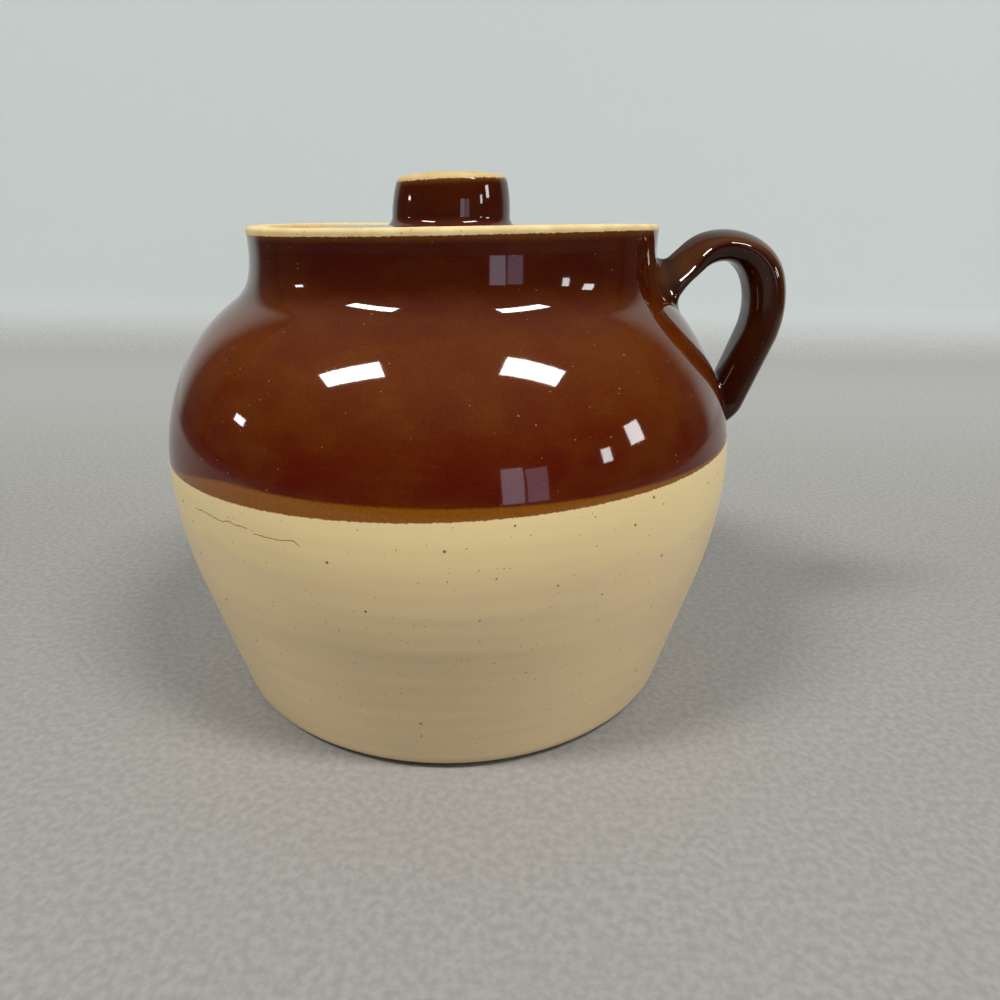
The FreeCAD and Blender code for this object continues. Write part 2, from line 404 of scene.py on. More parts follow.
handleShape = {
    "bowInset": 5.4,
    "bowDrop": 8.6,
    "bowRadius": 15.0,
    "sideStart": 17.0,
    "sideRadius": 28.0,
    "upperRise": 43.5,
    "lowerLean": 20.5,
    "upperBite": 6.0,
    "lowerBite": 7.0,
    "upperRoot": (18.0, 28.0, 1.7, 4.5, 0.0),
    "upperLimb": (9.8, 20.5, 1.2, 2.8, 0.05),
    "bowTop": (9.6, 20.5, 1.6, 5.2, 0.1),
    "side": (12.4, 20.5, 1.8, 6.6, 0.16),
    "lowerLimb": (11.6, 19.5, 1.9, 7.8, 0.22),
    "lowerRoot": (3.2, 12.5, 2.0, 1.6, 0.0),
    "upperSpread": 21.0,
    "lowerSpread": 22.0,
    "lowerTuck": 9.0,
    "innerPower": 3.6,
    "ridge": 52.0,
    "ridgeReach": 12.0,
    "upperFillet": 3.2,
    "lowerFillet": 1.3,
    "filletChange": 118.0,
    "filletFall": 4.0,
    "filletFallShare": 0.3,
    "deepest": 1.5,
    "apron": 0.6,
    "apronSteps": 3,
    "leanLimit": 0.97,
    "sink": 0.35,
    "capSink": 2.0,
    "ringVerts": 56,
    "ringSpacing": 0.8,
    "nudge": 0.02,
}


def strapRuns():
    # the centre line as runs: each is a length and a way to get the place and the outward angle at a
    # distance along it
    p = handleShape
    bowX, bowZ = potShape["bellyRadius"] - p["bowInset"], waistHeight - p["bowDrop"]
    sideX, sideZ = onCircle(bowX, bowZ, p["bowRadius"] - p["sideRadius"], p["sideStart"])
    upperAngle, lowerAngle = 90 + p["upperRise"], -p["lowerLean"]
    bowStart = onCircle(bowX, bowZ, p["bowRadius"], upperAngle)
    sideEnd = onCircle(sideX, sideZ, p["sideRadius"], lowerAngle)
    upperLength = (bowStart[0] - potShape["neckRadius"] + p["upperBite"]) / sin(radians(upperAngle))
    lowerLength = (sideEnd[0] - potShape["bellyRadius"] + p["lowerBite"]) / sin(radians(p["lowerLean"]))

    def limb(start, angle, length, before):
        along = sin(radians(angle)), -cos(radians(angle))

        def place(distance):
            return start[0] + along[0] * (distance - before), start[1] + along[1] * (distance - before), angle
        return length, place

    def bend(x, z, radius, startAngle, endAngle):
        def place(distance):
            angle = startAngle - degrees(distance / radius)
            return *onCircle(x, z, radius, angle), angle
        return radius * radians(startAngle - endAngle), place

    return [
        limb(bowStart, upperAngle, upperLength, upperLength),
        bend(bowX, bowZ, p["bowRadius"], upperAngle, p["sideStart"]),
        bend(sideX, sideZ, p["sideRadius"], p["sideStart"], lowerAngle),
        limb(sideEnd, lowerAngle, lowerLength, 0),
    ]


def strapPlace(runs, distance):
    for length, place in runs[:-1]:
        if distance <= length:
            return place(distance)
        distance -= length
    return runs[-1][1](distance)


def strapSize(runs, distance):
    p = handleShape
    upper, bow, side, lower = [length for length, place in runs]
    whole = upper + bow + side + lower
    named = [
        (0, p["upperRoot"]),
        (p["upperSpread"], p["upperLimb"]),
        (upper + p["bowRadius"] * radians(p["upperRise"]), p["bowTop"]),
        (upper + bow, p["side"]),
        (whole - p["lowerSpread"], p["lowerLimb"]),
        (whole - p["lowerTuck"], p["lowerRoot"]),
    ]
    for (start, size), (end, nextSize) in zip(named, named[1:]):
        if distance <= end:
            share = (1 - cos(pi * (distance - start) / (end - start))) / 2
            return [one + (other - one) * share for one, other in zip(size, nextSize)]
    return p["lowerRoot"]


def sectionSpot(angle, thickness, width, outerPower, innerDepth, innerTaper):
    # across and outward from the middle of the strap: a flat inner face and a crowned outer one,
    # whose sides slant like a low roof at a power near 1 and stand up at a high one; the widest place is
    # innerDepth above the inner face, and the taper makes the strap narrower towards that face
    p = handleShape
    middle = innerDepth - thickness / 2
    power = outerPower if sin(angle) > 0 else p["innerPower"]
    reach = thickness / 2 - middle if sin(angle) > 0 else thickness / 2 + middle
    across = width / 2 * copysign(abs(cos(angle)) ** (2 / power), cos(angle))
    out = middle + reach * copysign(abs(sin(angle)) ** (2 / power), sin(angle))
    return across * (1 - innerTaper * max(middle - out, 0) / innerDepth), out


def outwardAt(runs, distance):
    angle = radians(strapPlace(runs, distance)[2])
    return Vector((cos(angle), 0, sin(angle)))


def strapSpot(runs, distance, angle):
    # the point of the strap's skin and the skin's outward direction there
    p = handleShape
    x, z, outAngle = strapPlace(runs, distance)
    size = strapSize(runs, distance)
    outward = Vector((cos(radians(outAngle)), 0, sin(radians(outAngle))))
    sideways = Vector((0, 1, 0))
    nudge = p["nudge"]
    across, out = sectionSpot(angle, *size)
    acrossA, outA = sectionSpot(angle - nudge, *size)
    acrossB, outB = sectionSpot(angle + nudge, *size)
    point = (Vector((x, 0, z)) + outward * out + sideways * across) * mm
    away = sideways * (outB - outA) - outward * (acrossB - acrossA)
    return point, away.normalized()


def searchTree(bm):
    # the faces and their corners come in a fixed order, so that every run finds the same nearest face
    bm.verts.index_update()
    outlines = []
    for face in bm.faces:
        numbers = [vert.index for vert in face.verts]
        first = numbers.index(min(numbers))
        outlines.append(numbers[first:] + numbers[:first])
    return BVHTree.FromPolygons([vert.co[:] for vert in bm.verts], sorted(outlines))


def potDistance(potTree, point):
    nearest, normal = potTree.find_nearest(point)[:2]
    return (point - nearest).dot(normal), normal


def rootSpot(potTree, point, away):
    # turns the strap's skin out in a round fillet, so that the root ends in the pot's own surface; points
    # deeper than the fillet go on as a thin apron just under that surface
    p = handleShape
    upper = point.z / mm > p["filletChange"]
    fillet = p["upperFillet" if upper else "lowerFillet"] * mm
    height, up = potDistance(potTree, point)
    lean = min(max(away.dot(up), -p["leanLimit"]), p["leanLimit"])
    spread = acos(lean)
    start = fillet * (1 - lean)
    if height >= start:
        return point
    climb = (up - away * lean).normalized()
    fall = p["filletFall"] * mm * sin(spread) + fillet * p["filletFallShare"]
    corner = point - climb * (max(height, start - fall * p["deepest"]) / sin(spread))
    centre = corner + (away + up) * (fillet / (1 + lean))
    share = min((start - height) / fall, 1)
    turned = (away * sin(spread * (1 - share)) + up * sin(spread * share)) / sin(spread)
    spot = centre - turned * fillet
    wanted = (spot - corner).dot(up)
    past = max((start - height) / fall - 1, 0)
    outward = (away - up * lean).normalized()
    spot += outward * min(past, 1) * fillet * p["apron"]
    wanted -= min(past, 1) * p["sink"] * mm
    for step in range(p["apronSteps"]):
        found, up = potDistance(potTree, spot)
        spot = spot + up * (wanted - found)
    return spot


def ringEdges(ring):
    # the edges between the vertices of one ring, each once and always in the same order
    found = [edge for vert in ring for edge in vert.link_edges if edge.other_vert(vert) in ring]
    return list(dict.fromkeys(found))


def strapMesh(potTree):
    p = handleShape
    runs = strapRuns()
    whole = sum(length for length, place in runs)
    count = ceil(whole / p["ringSpacing"])
    bm = bmesh.new()
    order = bm.verts.layers.int.new("order")
    thin = bm.verts.layers.float.new("thinGlaze")
    made = bmesh.ops.create_circle(bm, cap_ends=False, segments=p["ringVerts"], radius=1)
    ring = made["verts"]
    for number, vert in enumerate(ring):
        vert[order] = number
    firstRing = ring

    def placeRing(ring, distance):
        outward = outwardAt(runs, distance)
        for vert in ring:
            angle = 2 * pi * vert[order] / p["ringVerts"]
            point, away = strapSpot(runs, distance, angle)
            vert.co = rootSpot(potTree, point, away)
            slant = degrees(atan2(abs(away.x * outward.x + away.z * outward.z), abs(away.y)))
            vert[thin] = exp(-((slant - p["ridge"]) / p["ridgeReach"]) ** 2) if sin(angle) > 0 else 0

    placeRing(ring, 0)
    for number in range(1, count + 1):
        made = bmesh.ops.extrude_edge_only(bm, edges=ringEdges(ring))
        ring = [part for part in made["geom"] if isinstance(part, bmesh.types.BMVert)]
        placeRing(ring, whole * number / count)

    for lastRing in (firstRing, ring):
        made = bmesh.ops.extrude_edge_only(bm, edges=ringEdges(lastRing))
        cap = [part for part in made["geom"] if isinstance(part, bmesh.types.BMVert)]
        for vert in cap:
            height, up = potDistance(potTree, vert.co)
            vert.co -= up * (height + p["capSink"] * mm)
        bmesh.ops.holes_fill(bm, edges=ringEdges(cap), sides=p["ringVerts"])
    bmesh.ops.recalc_face_normals(bm, faces=bm.faces[:])
    return bm


# Materials: node helpers first, with every size in millimetres

def newMaterial(name):
    material = bpy.data.materials.new(name)
    material.use_nodes = True
    material.node_tree.nodes.clear()
    return material, material.node_tree


def addNode(tree, kind, settings=None, inputs=None):
    node = tree.nodes.new("ShaderNode" + kind)
    for key, value in (settings or {}).items():
        setattr(node, key, value)
    for key, value in (inputs or {}).items():
        if isinstance(value, bpy.types.NodeSocket):
            tree.links.new(value, node.inputs[key])
        else:
            node.inputs[key].default_value = value
    return node


def maths(tree, operation, *values):
    return addNode(tree, "Math", {"operation": operation}, dict(enumerate(values))).outputs[0]


def vectorMaths(tree, operation, *values):
    return addNode(tree, "VectorMath", {"operation": operation}, dict(enumerate(values))).outputs[0]


def step(tree, value, low, high, fromValue=0.0, toValue=1.0):
    # eases from one value to the other while the input goes from low to high
    inputs = {"Value": value, "From Min": low, "From Max": high, "To Min": fromValue, "To Max": toValue}
    return addNode(tree, "MapRange", {"interpolation_type": "SMOOTHSTEP"}, inputs).outputs[0]


def noiseOf(tree, place, size, detail=2.0):
    return addNode(tree, "TexNoise", None, {"Vector": place, "Scale": 1 / size, "Detail": detail}).outputs[0]


def mixColour(tree, share, one, other, blend="MIX"):
    def asColour(value):
        return value if isinstance(value, bpy.types.NodeSocket) else (*value, 1)
    settings = {"data_type": "RGBA", "blend_type": blend}
    return addNode(tree, "Mix", settings, {0: share, 6: asColour(one), 7: asColour(other)}).outputs[2]


def mixValue(tree, share, one, other):
    return addNode(tree, "Mix", None, {0: share, 2: one, 3: other}).outputs[0]


def mixLook(tree, share, one, other):
    # a look is a colour, a roughness and a height
    colour = mixColour(tree, share, one[0], other[0])
    return colour, mixValue(tree, share, one[1], other[1]), mixValue(tree, share, one[2], other[2])


def shaded(tree, colour, level):
    grey = addNode(tree, "CombineXYZ", None, {0: level, 1: level, 2: level}).outputs[0]
    return mixColour(tree, 1.0, colour, grey, "MULTIPLY")


def attributeOf(tree, name):
    return addNode(tree, "Attribute", {"attribute_name": name}).outputs["Fac"]


def turnRadius(tree, place):
    # the distance from the wheel's axis
    flat = vectorMaths(tree, "MULTIPLY", place, (1, 1, 0))
    return addNode(tree, "VectorMath", {"operation": "LENGTH"}, {0: flat}).outputs["Value"]


def jagOf(tree, place, p):
    # how far a glaze's edge wanders from its line
    swing = maths(tree, "SUBTRACT", noiseOf(tree, place, p["jagSize"], 3), 0.5)
    return maths(tree, "MULTIPLY", swing, p["jag"])


speckForm = {
    "smallest": 0.4,
    "softEdge": 0.3,
}


def specks(tree, place, apart, radius, share):
    # small round spots, in a share of the cells only, and of uneven size
    cells = addNode(tree, "TexVoronoi", None, {"Vector": place, "Scale": 1 / apart})
    chance = addNode(tree, "SeparateColor", None, {0: cells.outputs["Color"]})
    chosen = maths(tree, "GREATER_THAN", chance.outputs[0], 1 - share)
    size = maths(tree, "MULTIPLY", chosen, step(tree, chance.outputs[1], 0.0, 1.0, speckForm["smallest"]))
    reach = maths(tree, "MULTIPLY", size, radius / apart)
    inside = maths(tree, "SUBTRACT", reach, cells.outputs["Distance"])
    return step(tree, inside, 0.0, speckForm["softEdge"] * radius / apart)


def placeOf(tree):
    # the point on the piece in millimetres
    coordinates = addNode(tree, "TexCoord").outputs["Object"]
    return vectorMaths(tree, "MULTIPLY", coordinates, (1 / mm, 1 / mm, 1 / mm))


def finish(material, tree, colour, roughness, height, specular=0.5):
    bump = addNode(tree, "Bump", None, {"Strength": 1.0, "Distance": mm, "Height": height})
    inputs = {"Base Color": colour, "Roughness": roughness, "Normal": bump.outputs[0]}
    shader = addNode(tree, "BsdfPrincipled", None, {**inputs, "Specular IOR Level": specular})
    output = addNode(tree, "OutputMaterial")
    tree.links.new(shader.outputs[0], output.inputs[0])
    return material


brown = {
    "deep": (0.082, 0.0054, 0.0004),
    "warm": (0.116, 0.026, 0.0016),
    "thin": (0.27, 0.10, 0.012),
    "warmFrom": 90.0,
    "warmTo": 118.0,
    "coolFrom": 126.0,
    "coolTo": 140.0,
    "warmLevels": (0.55, 0.05),
    "patch": 24.0,
    "patchSpan": (0.3, 0.7),
    "patchShare": 0.3,
    "streak": (13.0, 13.0, 6.0),
    "streakSpan": (0.4, 0.68),
    "streakShare": 0.34,
    "grain": 0.45,
    "grainSpan": (0.25, 0.75),
    "grainLevels": (0.86, 1.14),
    "speckColour": (0.62, 0.36, 0.16),
    "speckSpacing": 1.9,
    "speckRadius": 0.22,
    "speckShare": 0.35,
    "speckStrength": 0.6,
    "wave": 0.010,
    "waveSize": 7.0,
    "pebble": 0.0016,
    "pebbleSize": 0.9,
    "roughness": 0.045,
    "specular": 0.42,
}


def brownGlaze(tree, place, thin=0.0, shade=1.0):
    # the glossy red-brown glaze: thin is where it has run off an edge, and shade darkens it, which on the
    # handle is painted shade and painted dark reflection
    b = brown
    patches = step(tree, noiseOf(tree, place, b["patch"], 4), *b["patchSpan"])
    streaks = noiseOf(tree, vectorMaths(tree, "DIVIDE", place, b["streak"]), 1, 4)
    streaks = maths(tree, "MULTIPLY", step(tree, streaks, *b["streakSpan"]), b["streakShare"])
    patches = maths(tree, "MULTIPLY_ADD", patches, b["patchShare"], streaks)
    height = addNode(tree, "SeparateXYZ", None, {0: place}).outputs[2]
    warmth = maths(tree, "MULTIPLY", step(tree, height, b["warmFrom"], b["warmTo"]),
                   step(tree, height, b["coolFrom"], b["coolTo"], *b["warmLevels"]))
    colour = mixColour(tree, maths(tree, "ADD", patches, warmth), b["deep"], b["warm"])
    grain = step(tree, noiseOf(tree, place, b["grain"], 1), *b["grainSpan"], *b["grainLevels"])
    colour = shaded(tree, colour, maths(tree, "MULTIPLY", grain, shade))
    colour = mixColour(tree, thin, colour, b["thin"])
    spots = specks(tree, place, b["speckSpacing"], b["speckRadius"], b["speckShare"])
    spots = maths(tree, "MULTIPLY", spots, maths(tree, "MULTIPLY", shade, b["speckStrength"]))
    colour = mixColour(tree, spots, colour, b["speckColour"])
    wave = maths(tree, "MULTIPLY", noiseOf(tree, place, b["waveSize"], 1), b["wave"])
    pebble = maths(tree, "MULTIPLY", noiseOf(tree, place, b["pebbleSize"], 1), b["pebble"])
    return colour, b["roughness"], maths(tree, "ADD", wave, pebble)


clay = {
    "pale": (0.82, 0.66, 0.34),
    "sandy": (0.72, 0.54, 0.25),
    "patch": 6.0,
    "patchSpan": (0.3, 0.7),
    "speckColour": (0.10, 0.055, 0.02),
    "speckSpacing": 1.1,
    "speckRadius": 0.24,
    "speckShare": 0.45,
    "speckStrength": 0.8,
    "grit": 0.03,
    "gritSize": 0.5,
    "roughness": 0.75,
}


def dryClay(tree, place):
    # the unglazed clay of the rim, the foot, the lid's edge and the knob's top
    patches = step(tree, noiseOf(tree, place, clay["patch"], 4), *clay["patchSpan"])
    colour = mixColour(tree, patches, clay["pale"], clay["sandy"])
    spots = specks(tree, place, clay["speckSpacing"], clay["speckRadius"], clay["speckShare"])
    spots = maths(tree, "MULTIPLY", spots, clay["speckStrength"])
    colour = mixColour(tree, spots, colour, clay["speckColour"])
    grit = maths(tree, "MULTIPLY", noiseOf(tree, place, clay["gritSize"], 3), clay["grit"])
    return colour, clay["roughness"], grit


cream = {
    "high": (0.85, 0.68, 0.35),
    "low": (0.80, 0.62, 0.345),
    "grey": (0.64, 0.53, 0.34),
    "greyShare": 0.3,
    "greyFrom": 60.0,
    "greyTo": 78.0,
    "greyLeast": 0.15,
    "fadeFrom": 67.5,
    "fadeTo": 71.5,
    "fadeWander": 9.0,
    "streak": (70.0, 70.0, 4.5),
    "streakSpan": (0.45, 0.75),
    "patch": 18.0,
    "patchSpan": (0.35, 0.75),
    "patchShare": 0.5,
    "speckColour": (0.10, 0.05, 0.018),
    "speckSpacing": 4.0,
    "speckRadius": 0.55,
    "speckShare": 0.35,
    "speckStrength": 0.85,
    "fineSpacing": 1.5,
    "fineRadius": 0.27,
    "fineShare": 0.4,
    "fineStrength": 0.7,
    "fineColour": (0.2, 0.11, 0.045),
    "peel": 0.006,
    "peelSize": 1.6,
    "roughness": 0.33,
}


# a hairline crack in the cream at the left: turns round the pot in degrees, and heights
hairline = {
    "longPart": [(-135.7, 77.0), (-131.9, 77.4), (-126.8, 77.0), (-125.9, 77.8), (-120.8, 77.5)],
    "shortPart": [(-119.3, 76.7), (-115.0, 76.7), (-111.3, 77.3), (-110.5, 76.3)],
    "halfWidth": 0.12,
    "edgeSpan": (0.6, 1.4),
    "strength": 0.85,
    "wander": 0.9,
    "wanderSize": 2.0,
    "farAway": 100.0,
}


def crackOf(tree, place):
    # how dark the crack is at this place: the nearest of its straight parts, on the unrolled belly
    h = hairline
    x, y, height = addNode(tree, "SeparateXYZ", None, {0: place}).outputs
    around = maths(tree, "MULTIPLY", maths(tree, "ARCTAN2", y, x), potShape["bellyRadius"])
    wander = maths(tree, "SUBTRACT", noiseOf(tree, place, h["wanderSize"], 3), 0.5)
    height = maths(tree, "MULTIPLY_ADD", wander, h["wander"], height)
    spot = addNode(tree, "CombineXYZ", None, {0: around, 1: height}).outputs[0]
    nearest = h["farAway"]
    for part in (h["longPart"], h["shortPart"]):
        ends = [Vector((radians(turn) * potShape["bellyRadius"], level, 0)) for turn, level in part]
        for start, end in zip(ends, ends[1:]):
            way = end - start
            away = vectorMaths(tree, "SUBTRACT", spot, start)
            scaled = way / way.length_squared
            along = addNode(tree, "VectorMath", {"operation": "DOT_PRODUCT"}, {0: away, 1: scaled})
            share = maths(tree, "MINIMUM", maths(tree, "MAXIMUM", along.outputs["Value"], 0.0), 1.0)
            foot = addNode(tree, "VectorMath", {"operation": "SCALE"}, {0: way, "Scale": share}).outputs[0]
            gap = addNode(tree, "VectorMath", {"operation": "DISTANCE"}, {0: away, 1: foot}).outputs["Value"]
            nearest = maths(tree, "MINIMUM", nearest, gap)
    low, high = h["edgeSpan"]
    return step(tree, nearest, h["halfWidth"] * low, h["halfWidth"] * high, h["strength"], 0.0)


def creamGlaze(tree, place, height):
    # the satin cream glaze over speckled clay, with grey level streaks that are painted shade of the throwing
    # rings and greyer patches of its own, both stronger low on the belly
    c = cream
    middle = maths(tree, "SUBTRACT", height, c["fadeWander"] / 2)
    uneven = maths(tree, "MULTIPLY_ADD", noiseOf(tree, place, c["patch"], 3), c["fadeWander"], middle)
    colour = mixColour(tree, step(tree, uneven, c["fadeFrom"], c["fadeTo"]), c["low"], c["high"])
    # the level streaks are painted shade of the throwing rings; the patches are the cream's own greyer tone
    level = vectorMaths(tree, "DIVIDE", place, c["streak"])
    streaks = step(tree, noiseOf(tree, level, 1, 3), *c["streakSpan"])
    patches = step(tree, noiseOf(tree, place, c["patch"], 3), *c["patchSpan"])
    patches = maths(tree, "MULTIPLY", patches, c["patchShare"])
    lower = step(tree, height, c["greyFrom"], c["greyTo"], 1.0, c["greyLeast"])
    share = maths(tree, "MULTIPLY", maths(tree, "ADD", streaks, patches), lower)
    colour = mixColour(tree, maths(tree, "MULTIPLY", share, c["greyShare"]), colour, c["grey"])
    fine = specks(tree, place, c["fineSpacing"], c["fineRadius"], c["fineShare"])
    colour = mixColour(tree, maths(tree, "MULTIPLY", fine, c["fineStrength"]), colour, c["fineColour"])
    spots = specks(tree, place, c["speckSpacing"], c["speckRadius"], c["speckShare"])
    colour = mixColour(tree, maths(tree, "MULTIPLY", spots, c["speckStrength"]), colour, c["speckColour"])
    colour = mixColour(tree, crackOf(tree, place), colour, c["speckColour"])
    peel = maths(tree, "MULTIPLY", noiseOf(tree, place, c["peelSize"], 2), c["peel"])
    return colour, c["roughness"], peel


glazeLine = {
    "height": 85.06,
    "tilt": 3.24,
    "edgeSpan": (-0.12, 0.22),
    "amberHeight": 3.2,
    "amberTilt": 3.0,
    "amberLeast": 0.6,
    "amber": (0.235, 0.074, 0.001),
    "amberSpan": (-0.3, 0.6),
    "amberGrain": 0.6,
    "amberGrainSpan": (0.2, 0.8),
    "amberGrainLevels": (0.85, 1.15),
    "leftEnd": (-0.88, -0.55, 0.12),
    "rimEdge": 147.3,
    "rimEdgeTilt": 0.5,
    "rimEdgeSpan": (-0.1, 0.15),
    "thinFrom": -2.2,
    "thinShare": 0.35,
    "neckFrom": 118.0,
    "neckTo": 136.0,
    "neckShade": 0.62,
    "jag": 0.7,
    "jagSize": 0.9,
}


def makePotGlaze():
    material, tree = newMaterial("potGlaze")
    g = glazeLine
    place = placeOf(tree)
    x, y, height = addNode(tree, "SeparateXYZ", None, {0: place}).outputs
    towardsHandle = maths(tree, "DIVIDE", x, turnRadius(tree, place))
    jag = jagOf(tree, place, g)
    wheelHeight, inner, dry = [attributeOf(tree, name) for name in ("wheelHeight", "inner", "dryClay")]

    # heights above the glaze line, above the amber and above the rim's dry edge
    line = maths(tree, "MULTIPLY_ADD", towardsHandle, g["tilt"], g["height"])
    aboveLine = maths(tree, "ADD", maths(tree, "SUBTRACT", height, line), jag)
    amberHeight = maths(tree, "MULTIPLY_ADD", towardsHandle, -g["amberTilt"], g["amberHeight"])
    amberHeight = maths(tree, "MAXIMUM", amberHeight, g["amberLeast"])
    amberHeight = maths(tree, "MULTIPLY", amberHeight, step(tree, towardsHandle, *g["leftEnd"]))
    aboveAmber = maths(tree, "SUBTRACT", aboveLine, amberHeight)
    rimEdge = maths(tree, "MULTIPLY_ADD", towardsHandle, g["rimEdgeTilt"], g["rimEdge"])
    aboveRimEdge = maths(tree, "ADD", maths(tree, "SUBTRACT", wheelHeight, rimEdge), jag)

    # the brown upper half, thin and pale just under the rim, deeper on the neck
    thin = maths(tree, "MULTIPLY", step(tree, aboveRimEdge, g["thinFrom"], 0.0), g["thinShare"])
    shade = step(tree, height, g["neckFrom"], g["neckTo"], 1.0, g["neckShade"])
    brownColour, roughness, brownBump = brownGlaze(tree, place, thin, shade)
    grain = step(tree, noiseOf(tree, place, g["amberGrain"], 2), *g["amberGrainSpan"], *g["amberGrainLevels"])
    amber = shaded(tree, g["amber"], grain)
    glossy = mixColour(tree, step(tree, aboveAmber, *g["amberSpan"]), amber, brownColour)

    # brown above the line and inside, cream below it, and dry clay on the foot, the rim and the ledge
    isBrown = maths(tree, "MAXIMUM", step(tree, aboveLine, *g["edgeSpan"]), inner)
    isDry = maths(tree, "MAXIMUM", dry, step(tree, aboveRimEdge, *g["rimEdgeSpan"]))
    isDry = maths(tree, "MULTIPLY", isDry, maths(tree, "SUBTRACT", 1.0, inner))
    look = mixLook(tree, isBrown, creamGlaze(tree, place, height), (glossy, roughness, brownBump))
    look = mixLook(tree, isDry, look, dryClay(tree, place))
    return finish(material, tree, *look, brown["specular"])


# the handle's shade darkens the pot's brown glaze to about a third: painted shade and painted dark reflection
# on the strap
handleGlazing = {
    "thinShare": 0.2,
    "shade": 0.32,
    "amberSpan": (0.2, 1.1),
}


def makeHandleGlaze():
    material, tree = newMaterial("handleGlaze")
    g = glazeLine
    place = placeOf(tree)
    thin = maths(tree, "MULTIPLY", attributeOf(tree, "thinGlaze"), handleGlazing["thinShare"])
    # the brown darkened by the handle's shade is painted shade and painted dark reflection
    brownColour, roughness, brownBump = brownGlaze(tree, place, thin, handleGlazing["shade"])

    # the foot of the lower root lies below the pot's glaze line, and is cream like the pot there
    height = addNode(tree, "SeparateXYZ", None, {0: place}).outputs[2]
    lineHeight = g["height"] + g["tilt"]
    aboveLine = maths(tree, "ADD", maths(tree, "SUBTRACT", height, lineHeight), jagOf(tree, place, g))
    glossy = mixColour(tree, step(tree, aboveLine, *handleGlazing["amberSpan"]), g["amber"], brownColour)
    isBrown = step(tree, aboveLine, *g["edgeSpan"])
    look = mixLook(tree, isBrown, creamGlaze(tree, place, height), (glossy, roughness, brownBump))
    return finish(material, tree, *look, brown["specular"])


lidGlazing = {
    "edgeSpan": (54.2, 54.6),
    "glazedDepth": (2.6, 2.2),
    "jag": 1.2,
    "jagSize": 1.3,
    "shade": 0.75,
}


def makeLidGlaze():
    material, tree = newMaterial("lidGlaze")
    p = lidGlazing
    place = placeOf(tree)
    radius = turnRadius(tree, place)
    height = addNode(tree, "SeparateXYZ", None, {0: place}).outputs[2]
    edge = step(tree, maths(tree, "ADD", radius, jagOf(tree, place, p)), *p["edgeSpan"])
    under = step(tree, height, *[lidTop - depth for depth in p["glazedDepth"]], 1.0, 0.0)
    isDry = maths(tree, "MAXIMUM", edge, under)
    look = mixLook(tree, isDry, brownGlaze(tree, place, 0.0, p["shade"]), dryClay(tree, place))
    return finish(material, tree, *look, brown["specular"])


knobGlazing = {
    "edgeHeight": 12.7,
    "edgeTilt": 0.05,
    "edgeSpan": (-0.1, 0.15),
    "thinFrom": -1.8,
    "thinShare": 0.35,
    "jag": 1.1,
    "jagSize": 1.2,
    "shade": 0.62,
    "paintedTopShade": (0.76, 0.72, 0.68),
}


def makeKnobGlaze():
    material, tree = newMaterial("knobGlaze")
    p = knobGlazing
    place = placeOf(tree)
    x, y, height = addNode(tree, "SeparateXYZ", None, {0: place}).outputs
    edgeHeight = maths(tree, "MULTIPLY_ADD", x, p["edgeTilt"], lidTop + p["edgeHeight"])
    aboveEdge = maths(tree, "ADD", maths(tree, "SUBTRACT", height, edgeHeight), jagOf(tree, place, p))
    thin = maths(tree, "MULTIPLY", step(tree, aboveEdge, p["thinFrom"], 0.0), p["thinShare"])
    clayColour, roughness, clayBump = dryClay(tree, place)
    # the knob's clay top is the rim's clay made darker: painted shade
    clayColour = mixColour(tree, 1.0, clayColour, p["paintedTopShade"], "MULTIPLY")
    look = mixLook(tree, step(tree, aboveEdge, *p["edgeSpan"]), brownGlaze(tree, place, thin, p["shade"]),
                   (clayColour, roughness, clayBump))
    return finish(material, tree, *look, brown["specular"])


potGlaze = makePotGlaze()
handleGlaze = makeHandleGlaze()
lidGlaze = makeLidGlaze()
knobGlaze = makeKnobGlaze()
print("materials made")


# Pieces

potMesh = potOutline()
turnOnWheel(potMesh, potShape["wheelSteps"])
for vert in potMesh.verts:
    throwMarks(vert)

# the strap's roots are fitted to the pot's glazed outside alone
outside = potMesh.copy()
inner, dry = [outside.verts.layers.float[name] for name in ("inner", "dryClay")]
hidden = [vert for vert in outside.verts if vert[inner] or vert[dry]]
bmesh.ops.delete(outside, geom=hidden, context="VERTS")
strap = strapMesh(searchTree(outside))
outside.free()
for vert in strap.verts:
    leanWithKiln(vert)
wheelHeight = potMesh.verts.layers.float.new("wheelHeight")
for vert in potMesh.verts:
    vert[wheelHeight] = vert.co.z / mm
    leanWithKiln(vert)
    waveRim(vert)
finishPiece("potBody", potMesh, "pot_body", "pot", potGlaze)
finishPiece("loopHandle", strap, "handle", "pot", handleGlaze)

lidMesh = lidOutline()
turnOnWheel(lidMesh, lidShape["wheelSteps"])
for vert in lidMesh.verts:
    leanLid(vert)
finishPiece("dropInLid", lidMesh, "lid", "lid_assembly", lidGlaze)

knobMesh = knobOutline()
turnOnWheel(knobMesh, knobShape["wheelSteps"])
for vert in knobMesh.verts:
    leanKnob(vert)
    leanLid(vert)
finishPiece("lidKnob", knobMesh, "lid_knob", "lid_assembly", knobGlaze)


# Floor and backdrop, lamps and camera

stage = {
    "reach": 3000.0,
    "wallDistance": 660.0,
    "bend": 60.0,
    "wallHeight": 1300.0,
    "below": 0.05,
    "floorColour": (0.285, 0.285, 0.28),
    "rearFloorColour": (0.42, 0.43, 0.43),
    "rearAt": 500.0,
    "mottleSpan": (0.3, 0.7),
    "mottle": (0.9, 1.1),
    "mottleSize": 2.2,
    "wallColour": (0.68, 0.75, 0.77),
    "farColour": (0.085, 0.085, 0.085),
    "paleReach": 580.0,
    "paleEnd": 900.0,
    "leftWeight": 0.8,
    "rightWeight": 0.72,
    "roughness": 0.95,
    "specular": 0.2,
}


